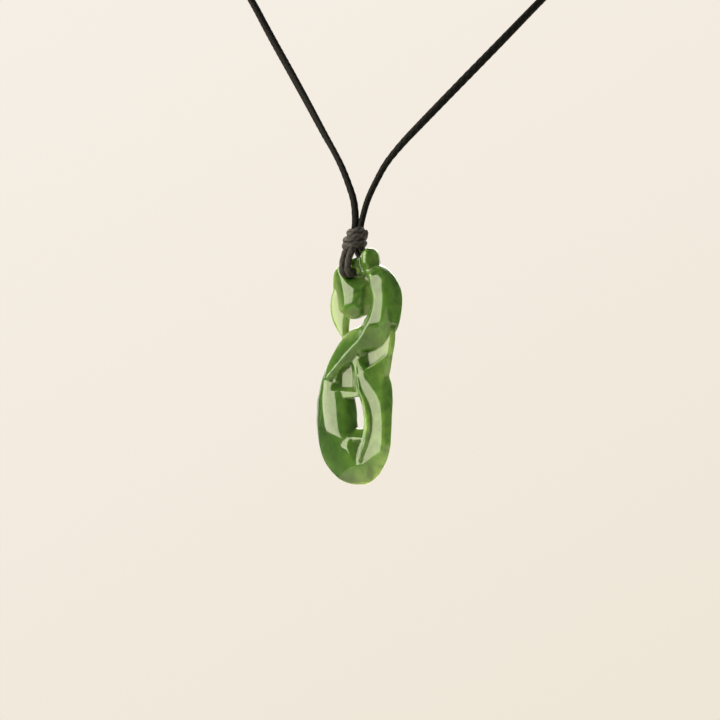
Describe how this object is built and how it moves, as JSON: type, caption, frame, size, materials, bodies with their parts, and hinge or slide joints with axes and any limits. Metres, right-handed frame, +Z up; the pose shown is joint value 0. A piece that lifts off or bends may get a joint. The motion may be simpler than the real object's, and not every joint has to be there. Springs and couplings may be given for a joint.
{
  "type": "greenstone manaia pendant",
  "caption": "Polished greenstone manaia pendant, S-shaped with a curled tail, tied to a black waxed neck cord through its drilled hole.",
  "frame": {"origin": "the nape: the top of the neck cord, in the middle of the knot that closes it, where the necklace hangs", "axes": "+Z up; -Y the front face of the carving; +X the wearer's left; the hole's axis runs along Y"},
  "size_m": [0.1362, 0.0324, 0.2088],
  "materials": {
    "greenstone": "polished, translucent",
    "cord": "waxed cotton, twisted"
  },
  "bodies": {
    "cord": {"neck_cord": "cord", "nape_knot": "cord", "pendant_knot": "cord", "hanging_loop": "cord"},
    "stone": {"manaia": "greenstone"}
  },
  "joints": [
    {"name": "pendant_swing", "type": "hinge", "parent": "cord", "child": "stone", "pos_m": [0, -0.026, -0.16], "axis": [0, 1, 0], "range_deg": [-5, 45]}
  ]
}
